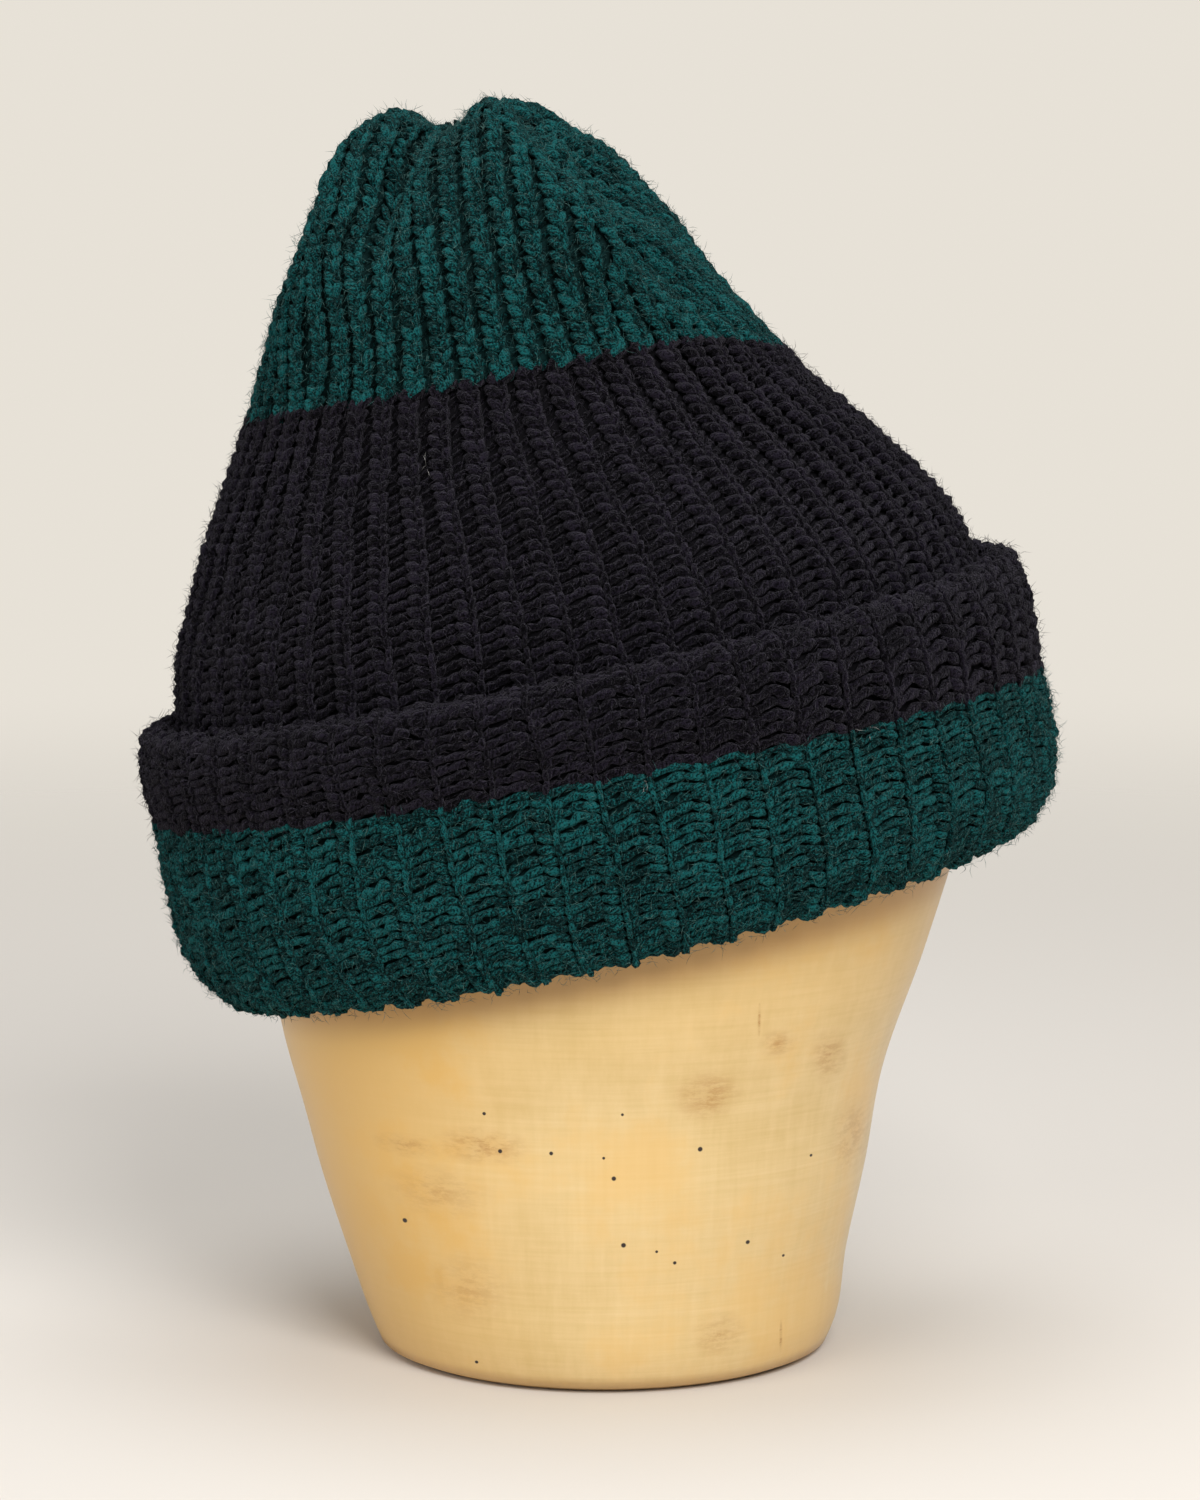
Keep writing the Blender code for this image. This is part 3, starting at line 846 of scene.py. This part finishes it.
class Look:
    """A material in the making. Its helpers add a node and return the node's output."""

    def __init__(self, name):
        self.material = bpy.data.materials.new(name)
        self.material.use_nodes = True
        self.nodes = self.material.node_tree.nodes
        self.links = self.material.node_tree.links
        self.shader = self.nodes["Principled BSDF"]

    def feed(self, socket, value):
        """Gives a socket a number or a colour, or links another socket to it."""
        if isinstance(value, tuple):
            socket.default_value = (*value, 1.0)
        elif isinstance(value, (int, float)):
            socket.default_value = value
        else:
            self.links.new(value, socket)

    def settings(self, **values):
        """Sets inputs of the shader, with _ for the spaces in their names."""
        for name, value in values.items():
            self.feed(self.shader.inputs[name.replace("_", " ")], value)

    def place(self):
        """Position on the piece."""
        return self.nodes.new("ShaderNodeTexCoord").outputs["Object"]

    def split(self, vector):
        """The three parts of a vector."""
        made = self.nodes.new("ShaderNodeSeparateXYZ")
        self.links.new(vector, made.inputs[0])
        return made.outputs

    def join(self, *parts):
        """A vector from its three parts."""
        made = self.nodes.new("ShaderNodeCombineXYZ")
        for socket, value in zip(made.inputs, parts):
            self.feed(socket, value)
        return made.outputs[0]

    def maths(self, kind, a, b):
        """A sum on two values."""
        made = self.nodes.new("ShaderNodeMath")
        made.operation = kind
        self.feed(made.inputs[0], a)
        self.feed(made.inputs[1], b)
        return made.outputs[0]

    def plus(self, a, b):
        return self.maths("ADD", a, b)

    def times(self, a, b):
        return self.maths("MULTIPLY", a, b)

    def least(self, a, b):
        return self.maths("MINIMUM", a, b)

    def most(self, a, b):
        return self.maths("MAXIMUM", a, b)

    def vector_maths(self, kind, vector, other):
        """The value of a sum on a vector and a constant one."""
        made = self.nodes.new("ShaderNodeVectorMath")
        made.operation = kind
        self.links.new(vector, made.inputs[0])
        made.inputs[1].default_value = other
        return made.outputs["Value"]

    def scaled(self, vector, size, shift=(0.0, 0.0, 0.0)):
        """A vector scaled and then shifted."""
        made = self.nodes.new("ShaderNodeMapping")
        made.inputs["Scale"].default_value = size
        made.inputs["Location"].default_value = shift
        self.links.new(vector, made.inputs["Vector"])
        return made.outputs[0]

    def noise(self, vector, scale, detail=2.0, roughness=0.5):
        """A Noise texture at a vector."""
        made = self.nodes.new("ShaderNodeTexNoise")
        made.inputs["Scale"].default_value = scale
        made.inputs["Detail"].default_value = detail
        made.inputs["Roughness"].default_value = roughness
        self.links.new(vector, made.inputs["Vector"])
        return made.outputs[0]

    def steps(self, value, low, high):
        """0 to 1 as a value goes from low to high."""
        made = self.nodes.new("ShaderNodeMapRange")
        made.interpolation_type = "SMOOTHSTEP"
        made.inputs["From Min"].default_value = low
        made.inputs["From Max"].default_value = high
        self.links.new(value, made.inputs["Value"])
        return made.outputs[0]

    def ramp(self, value, stops):
        """Colours from (position, colour) stops."""
        made = self.nodes.new("ShaderNodeValToRGB")
        band = made.color_ramp
        while len(band.elements) < len(stops):
            band.elements.new(0.5)
        for element, (position, colour) in zip(band.elements, stops):
            element.position = position
            element.color = (*colour, 1.0)
        self.links.new(value, made.inputs[0])
        return made.outputs[0]

    def blend(self, factor, a, b):
        """Colour a turned into colour b by a factor."""
        made = self.nodes.new("ShaderNodeMix")
        made.data_type = "RGBA"
        self.links.new(factor, made.inputs["Factor"])
        self.feed(made.inputs["A"], a)
        self.feed(made.inputs["B"], b)
        return made.outputs["Result"]

    def finish(self, colour, height, strength, distance):
        """Links a colour and a bump to the shader, and returns the material."""
        made = self.nodes.new("ShaderNodeBump")
        made.inputs["Strength"].default_value = strength
        made.inputs["Distance"].default_value = distance
        self.links.new(height, made.inputs["Height"])
        self.links.new(made.outputs[0], self.shader.inputs["Normal"])
        self.links.new(colour, self.shader.inputs["Base Color"])
        return self.material


def wool(name, slot, tones, sheen_tint):
    """Heathered wool yarn: fine fibres along each run, flecks, pale fuzz and a soft sheen."""
    dark, mid, light = tones
    look = Look(name)
    yarn = look.nodes.new("ShaderNodeAttribute")
    yarn.attribute_name = "yarn"
    along, around, chance = look.split(yarn.outputs["Vector"])
    turned = look.plus(look.times(around, 9.0), look.times(along, 1.2))
    fibre = look.join(look.times(along, 0.55), turned, look.times(chance, 40.0))
    place = look.place()
    strands = look.noise(fibre, 1.3, 4.0, 0.6)
    flecks = look.noise(place, 2200.0)
    clouds = look.noise(place, 60.0)
    value = look.plus(look.times(strands, 0.52), look.times(flecks, 0.48))
    value = look.plus(value, look.times(clouds, 0.05))
    value = look.plus(look.maths("SUBTRACT", value, 0.075), look.times(chance, 0.10))
    colour = look.ramp(value, ((0.45, dark), (0.505, mid), (0.57, light)))
    grey = sum(light) / 3.0
    faded = tuple(0.55 * part + 0.45 * grey for part in light)
    veil = look.noise(look.scaled(place, (1.0, 1.0, 1.4)), 1300.0, 4.0, 0.7)
    veil = look.times(look.steps(veil, 0.50, 0.66), 0.40)
    look.settings(Roughness=0.92, Specular_IOR_Level=0.04)
    look.settings(Sheen_Weight=0.07, Sheen_Roughness=0.30, Sheen_Tint=sheen_tint)
    return look.finish(look.blend(veil, colour, faded), value, 0.9, 0.0026), slot


def plain_wool(name, slot, colour):
    """Cloth behind the stitches; the green is given darker than its yarn, as painted shade in the
    gaps.
    """
    look = Look(name)
    grain = look.noise(look.place(), 500.0, 3.0)
    low = tuple(part * 0.5 for part in colour)
    high = tuple(part * 1.5 for part in colour)
    look.settings(Roughness=0.95, Specular_IOR_Level=0.1)
    return look.finish(look.ramp(grain, ((0.3, low), (0.7, high))), grain, 0.6, 0.0005), slot


def stains_on(look, flat):
    """How strongly the stains colour each place."""
    stained = None
    for at_x, at_z, wide, high, strength in STAINS:
        spot = look.nodes.new("ShaderNodeTexGradient")
        spot.gradient_type = "SPHERICAL"
        shift = (-at_x / wide, 0.0, -at_z / high)
        way = look.scaled(flat, (1.0 / wide, 1.0, 1.0 / high), shift)
        look.links.new(way, spot.inputs["Vector"])
        level = look.times(spot.outputs["Fac"], strength)
        stained = level if stained is None else look.most(stained, level)
    return stained


def wormholes_on(look, flat):
    """1 in a wormhole and 0 elsewhere."""
    nearest = None
    for at_x, at_z, radius in WORMHOLES:
        gap = look.vector_maths("DISTANCE", flat, (at_x, 0.0, at_z))
        gap = look.maths("DIVIDE", gap, radius)
        nearest = gap if nearest is None else look.least(nearest, gap)
    return look.steps(nearest, 1.0, 0.6)


def varnished_wood(name, slot):
    """Honey-coloured varnished wood: turning lines, faint grain, brown stains and wormholes,
    with painted shade towards the left and under the cap, and a painted shadow below the hem.
    """
    look = Look(name)
    place = look.place()
    x, y, z = look.split(place)
    turned = look.noise(look.scaled(place, (0.03, 0.03, 1.0)), 900.0, 5.0, 0.7)
    grain = look.noise(look.scaled(place, (1.0, 1.0, 0.04)), 420.0, 4.0, 0.6)
    clouds = look.noise(place, 26.0, 6.0, 0.6)
    fine = look.plus(look.times(turned, 0.26), look.times(grain, 0.20))
    fine = look.plus(fine, look.times(clouds, 0.54))
    # painted shade and shadow: more orange and darker towards the left and up under the cap; more
    # orange also where the varnish gathers
    left_painted_shade = look.times(look.steps(x, -0.005, -0.070), 0.95)
    painted_shadow_under_cap = look.times(look.steps(z, 0.070, 0.135), 0.55)
    gathered = look.times(look.steps(clouds, 0.47, 0.66), 0.55)
    varnish_and_shade = look.least(look.plus(look.plus(left_painted_shade, painted_shadow_under_cap), gathered), 1.0)
    colour = look.blend(varnish_and_shade, look.ramp(fine, WOOD_TONES), VARNISH_AND_SHADE_COLOUR)
    # painted shadow: a brown band on the wood just below the cap's hem
    hem_shadow = look.vector_maths("DOT_PRODUCT", place, (-math.sin(SLANT), 0.0, math.cos(SLANT)))
    hem_shadow = look.steps(hem_shadow, HEM_LEVEL - 0.013, HEM_LEVEL - 0.003)
    colour = look.blend(look.times(hem_shadow, 0.65), colour, HEM_SHADOW_COLOUR)
    # stains and wormholes lie on the front half, and the foot is darker all round
    flat = look.join(x, look.maths("GREATER_THAN", y, 0.0), z)
    patches = look.noise(look.scaled(place, (0.5, 0.5, 1.6)), 330.0, 6.0, 0.75)
    patches = look.plus(look.times(look.steps(patches, 0.42, 0.62), 0.75), 0.25)
    foot = look.times(look.steps(z, 0.0055, 0.0010), 0.50)
    stained = look.most(look.times(stains_on(look, flat), patches), foot)
    colour = look.blend(look.least(stained, 1.0), colour, STAIN_COLOUR)
    holed = wormholes_on(look, flat)
    colour = look.blend(holed, colour, HOLE_COLOUR)
    look.settings(Roughness=0.42, Coat_Weight=0.25, Coat_Roughness=0.22)
    return look.finish(colour, look.maths("SUBTRACT", fine, holed), 0.15, 0.0003), slot


GREEN_TINT = (0.35, 1.00, 0.95)
BLACK_TINT = (0.90, 0.85, 1.00)
green = wool(
    "green_yarn",
    "green_wool",
    ((0.0004, 0.0055, 0.0060), (0.0010, 0.0275, 0.0290), (0.009, 0.112, 0.115)),
    GREEN_TINT,
)
black = wool(
    "black_yarn",
    "black_wool",
    ((0.0006, 0.0004, 0.0008), (0.0022, 0.0017, 0.0033), (0.0155, 0.0125, 0.021)),
    BLACK_TINT,
)
green_hair = wool(
    "green_fuzz",
    "green_wool",
    ((0.008, 0.050, 0.050), (0.025, 0.110, 0.108), (0.110, 0.220, 0.200)),
    (0.50, 1.00, 0.95),
)
black_hair = wool(
    "black_fuzz",
    "black_wool",
    ((0.006, 0.005, 0.008), (0.018, 0.015, 0.023), (0.075, 0.068, 0.085)),
    BLACK_TINT,
)
lint = wool(
    "lint",
    "black_wool",
    ((0.30, 0.29, 0.28), (0.50, 0.49, 0.47), (0.70, 0.69, 0.66)),
    (1.00, 1.00, 1.00),
)
# the green cloth is darker than the green yarn: painted shade in the gaps between stitches
green_cloth_painted_shade = plain_wool("green_cloth_painted_shade", "green_wool", (0.0030, 0.016, 0.016))
black_cloth = plain_wool("black_cloth", "black_wool", (0.0040, 0.0036, 0.0048))
wood = varnished_wood("varnished_wood", "varnished_wood")


# ---- cap ----

WALL_GAP = 0.0002
stripe_low, stripe_high = CAP_STRIPE - WALL_GAP, CAP_STRIPE + WALL_GAP
crown_top = cap.up[-1] - 0.0004
fold_high, edge_low = FOLD_END - WALL_GAP, FOLD_END + WALL_GAP
wall_piece("body_wall", cap, cap.up[0], stripe_low, BODY_WALL, black_cloth, "body_band")
wall_piece("crown_wall", cap, stripe_high, crown_top, CROWN_WALL, green_cloth_painted_shade, "crown")
wall_piece("cuff_fold_wall", cuff, cuff.up[0], fold_high, CUFF_WALL, green_cloth_painted_shade, "cuff_fold_band")
wall_piece("cuff_edge_wall", cuff, edge_low, cuff.up[-1], CUFF_WALL, black_cloth, "cuff_edge_band")

# rows of stitches lap a little over each change of colour, and go a little way out of sight
body_rows = np.linspace(CUFF_EDGE - 0.0045, CAP_STRIPE + 0.0006, 29)
crown_rows = np.linspace(CAP_STRIPE - 0.0010, cap.up[-1] - 0.003, 26)
fold_rows = np.linspace(cuff.up[0] + 0.0095, FOLD_END + 0.0010, 25)
edge_rows = np.linspace(FOLD_END, cuff.up[-1], 14)


def front(angle):
    """The half that faces the camera."""
    return np.sin(angle) < 0.0


def back(angle):
    """The other half."""
    return np.sin(angle) >= 0.0


stitch_piece("body_stitches_front", cap, body_rows, black, front)
stitch_piece("body_stitches_back", cap, body_rows, black, back)
stitch_piece("crown_stitches", cap, crown_rows, green)
stitch_piece("cuff_fold_stitches_front", cuff, fold_rows, green, front)
stitch_piece("cuff_fold_stitches_back", cuff, fold_rows, green, back)
stitch_piece("cuff_edge_stitches", cuff, edge_rows, black)
fuzz_piece("crown_fuzz", cap, CAP_STRIPE, cap.up[-1] - 0.004, 10500, green_hair)
fuzz_piece("body_fuzz", cap, CUFF_EDGE, CAP_STRIPE, 10500, black_hair)
fuzz_piece("cuff_fold_fuzz", cuff, cuff.up[2], FOLD_END, 9500, green_hair)
fuzz_piece("cuff_edge_fuzz", cuff, FOLD_END, cuff.up[-1] - 0.003, 5000, black_hair)

# lint caught on the black yarn, four fibres at each spot
LINT_HAIRS = 4
LINT_SPREAD_TURN = 0.004
LINT_SPREAD_UP = 0.0005
LINT = (
    # name, surface, (angle, up) of each spot
    ("body_lint", cap, ((-106.0, 0.1195), (35.0, 0.0980), (118.0, 0.1290), (160.0, 0.1060))),
    ("cuff_lint", cuff, ((-84.0, 0.0658), (-55.0, 0.0665), (75.0, 0.0790))),
)
for name, surface, spots in LINT:
    turn, up = np.repeat(np.array(spots), LINT_HAIRS, 0).T
    turn = np.radians(turn) + rng.normal(0.0, LINT_SPREAD_TURN, len(turn))
    up = up + rng.normal(0.0, LINT_SPREAD_UP, len(up))
    fibres_piece(name, surface, turn, up, lint)


# ---- block stand ----


def block_sections(angles):
    """Sections of the block from its base to the top of its dome."""

    def section(rise, width, shift, slant, depth):
        x = width * np.cos(angles)
        y = width * depth * np.sin(angles)
        c, s = math.cos(SLANT * slant), math.sin(SLANT * slant)
        return np.stack((shift + c * x, y, rise + s * x), -1)

    first = BASE_FIRST_RISE * BASE_ROUND
    rings = [
        section(first, BASE_HALF_WIDTH - first, BASE_SHIFT, 0.0, 1.0),
        section(BASE_ROUND, BASE_HALF_WIDTH, BASE_SHIFT, 0.0, 1.0),
    ]
    for rise, width, shift, slant, depth in BLOCK_ROWS:
        half, aside = width * BLOCK_HALF_WIDTH, shift * BLOCK_HALF_WIDTH
        rings.append(section(rise * SEAT_RISE, half, aside, slant, depth))
    for rise, width, shift in DOME_ROWS:
        w = width * BLOCK_HALF_WIDTH
        x = shift * BLOCK_HALF_WIDTH + w * np.cos(angles)
        y = w * HEAD_DEPTH_SHARE * np.sin(angles)
        rings.append(seat(np.stack((x, y, np.full_like(angles, rise * DOME_RISE)), -1)))
    return np.array(rings)


BLOCK_COLUMNS = 128
BLOCK_STEPS = 90


def block_piece(name, finish, node):
    """The block as one smooth closed form."""
    columns = BLOCK_COLUMNS
    angles = math.tau * np.arange(columns) / columns
    rings = block_sections(angles)
    lengths = np.linalg.norm(np.diff(rings, axis=0), axis=2).mean(1)
    up = np.concatenate(([0.0], np.cumsum(lengths)))
    gaps = np.diff(up)
    tangents = tangents_of(rings, gaps)
    flat = BASE_HALF_WIDTH - BASE_ROUND
    base = (BASE_SHIFT + flat * np.cos(angles), flat * np.sin(angles), np.zeros_like(angles))
    rows = [np.stack(base, -1)]
    for at in np.linspace(0.0, up[-1], BLOCK_STEPS):
        k = min(int(np.searchsorted(up, at, side="right")) - 1, len(up) - 2)
        q = (at - up[k]) / gaps[k]
        rows.append(curve(rings[k], rings[k + 1], tangents[k], tangents[k + 1], gaps[k], q))
    count = len(rows)
    tip = seat(np.array([[DOME_LEAN * BLOCK_HALF_WIDTH, 0.0, DOME_RISE]]))
    foot = np.array([[BASE_SHIFT, 0.0, 0.0]])
    points = np.concatenate((np.array(rows).reshape(-1, 3), tip, foot))
    k = np.arange(columns)
    j = (k + 1) % columns
    faces = []
    for r in range(count - 1):
        a, b = r * columns + k, r * columns + j
        faces.append(np.stack((a, b, b + columns), 1))
        faces.append(np.stack((a, b + columns, a + columns), 1))
    top = (count - 1) * columns
    peak, foot_point = count * columns, count * columns + 1
    faces.append(np.stack((top + k, top + j, np.full(columns, peak)), 1))
    faces.append(np.stack((j, k, np.full(columns, foot_point)), 1))
    mesh_piece(name, points, np.concatenate(faces), finish, node)


block_piece("block", wood, "block_stand")


# ---- floor, light and camera ----

FLOOR_HALF = 3.0
ground = Look("pale_floor")
ground.settings(Base_Color=(0.74, 0.70, 0.65), Roughness=0.8, Specular_IOR_Level=0.2)
# the floor fades out into the backdrop
floor_reach = ground.vector_maths("DISTANCE", ground.place(), (0.0, 0.0, 0.0))
floor_fade = ground.steps(floor_reach, 1.5, 0.35)
ground.links.new(floor_fade, ground.shader.inputs["Alpha"])
floor_mesh = bpy.data.meshes.new("floor")
corners = [(a * FLOOR_HALF, b * FLOOR_HALF, 0) for a, b in ((-1, -1), (1, -1), (1, 1), (-1, 1))]
floor_mesh.from_pydata(corners, [], [(0, 1, 2, 3)])
floor_mesh.materials.append(ground.material)
floor = bpy.data.objects.new("floor", floor_mesh)
scene.collection.objects.link(floor)

# the world lights softly and is seen as a pale backdrop
world = bpy.data.worlds.new("studio")
world.use_nodes = True
world_nodes, world_links = world.node_tree.nodes, world.node_tree.links
glow = world_nodes["Background"]
glow.inputs["Color"].default_value = (1.0, 0.985, 0.96, 1.0)
glow.inputs["Strength"].default_value = 0.32
backdrop = world_nodes.new("ShaderNodeBackground")
backdrop.inputs["Color"].default_value = (0.80, 0.755, 0.68, 1.0)
rays = world_nodes.new("ShaderNodeLightPath")
either = world_nodes.new("ShaderNodeMixShader")
world_links.new(rays.outputs["Is Camera Ray"], either.inputs["Fac"])
world_links.new(glow.outputs[0], either.inputs[1])
world_links.new(backdrop.outputs[0], either.inputs[2])
world_links.new(either.outputs[0], world_nodes["World Output"].inputs["Surface"])
scene.world = world


def lamp(name, place, aim, size, power):
    """A square soft light that faces a point."""
    data = bpy.data.lights.new(name, "AREA")
    data.shape = "SQUARE"
    data.size = size
    data.energy = power
    made = bpy.data.objects.new(name, data)
    made.location = place
    way = np.array(aim) - np.array(place)
    flat = math.hypot(way[0], way[1])
    made.rotation_euler = (math.atan2(flat, -way[2]), 0.0, math.atan2(-way[0], way[1]))
    scene.collection.objects.link(made)


lamp("key_light", (0.55, -1.7, 1.4), (0.0, 0.0, 0.17), 1.0, 40.0)
lamp("fill_light", (-1.3, -1.3, 0.9), (0.0, 0.0, 0.17), 1.2, 10.0)
lamp("top_light", (0.0, 0.1, 1.8), (0.0, 0.0, 0.2), 1.2, 14.0)

# the photograph's angle: focal length in pixels of a picture 1500 high, and a slight look down
SENSOR_HEIGHT = 36.0
PICTURE_HEIGHT = 1500.0
FOCAL_PIXELS = 4706.0
LOOK_DOWN = 7.386
view = bpy.data.cameras.new("camera")
view.sensor_fit = "VERTICAL"
view.sensor_height = SENSOR_HEIGHT
view.lens = FOCAL_PIXELS * SENSOR_HEIGHT / PICTURE_HEIGHT
view.clip_end = 20.0
camera = bpy.data.objects.new("camera", view)
camera.location = (0.0, -1.2, 0.310)
camera.rotation_euler = (math.radians(90.0 - LOOK_DOWN), 0.0, 0.0)
scene.collection.objects.link(camera)
scene.camera = camera

scene.view_settings.view_transform = "Standard"
